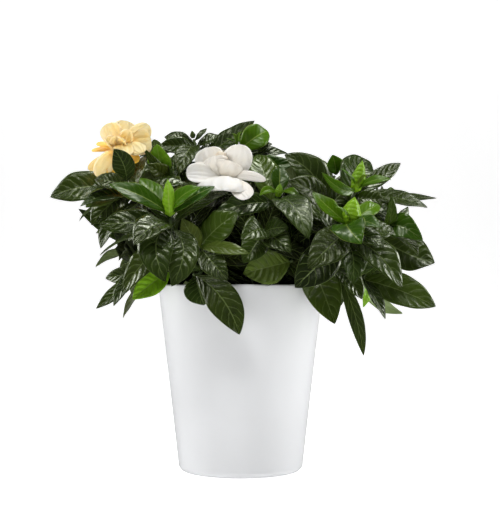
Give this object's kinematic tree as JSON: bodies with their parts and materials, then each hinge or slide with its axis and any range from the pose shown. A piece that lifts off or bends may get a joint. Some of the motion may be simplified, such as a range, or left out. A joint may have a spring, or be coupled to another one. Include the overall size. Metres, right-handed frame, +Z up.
{
  "type": "potted gardenia",
  "caption": "Bushy flowering houseplant with glossy veined leaves, bright young tips and ruffled white and yellow blooms, standing in a plain white tapered pot.",
  "frame": {"origin": "centre of the flat underside of the pot", "axes": "+Z up along the pot's axis, -Y towards the viewer, +X to the viewer's right"},
  "size_m": [0.3252, 0.2539, 0.2972],
  "materials": {
    "pot": "satin white glaze",
    "soil": "matt crumbly potting soil",
    "leaf": "glossy leaf with pale veins",
    "young_leaf": "glossy bright young leaf",
    "petal_white": "soft matt white petal",
    "petal_yellow": "soft matt cream-yellow petal"
  },
  "bodies": {
    "root": {"pot": "pot", "soil": "soil", "bloom_white": "petal_white", "bloom_yellow": "petal_yellow", "tip_front_left": "young_leaf", "tip_upper_left": "young_leaf", "tip_crest_left": "young_leaf", "tip_crest": "young_leaf", "tip_middle": "young_leaf", "tip_front_right": "young_leaf", "tip_upper_right": "young_leaf", "tip_crest_right": "young_leaf", "tip_far_right": "young_leaf", "tip_back_left_high": "young_leaf", "tip_back_left_side": "young_leaf", "tip_back_high": "young_leaf", "tip_back_middle": "young_leaf", "tip_back_right_high": "young_leaf", "tip_back_right_side": "young_leaf", "stem_front_left": "leaf", "stem_left": "leaf", "stem_upper_left": "leaf", "stem_centre": "leaf", "stem_front": "leaf", "stem_front_right": "leaf", "stem_upper_right": "leaf", "stem_right": "leaf", "stem_back_left": "leaf", "stem_back": "leaf", "stem_back_right": "leaf"}
  },
  "joints": []
}
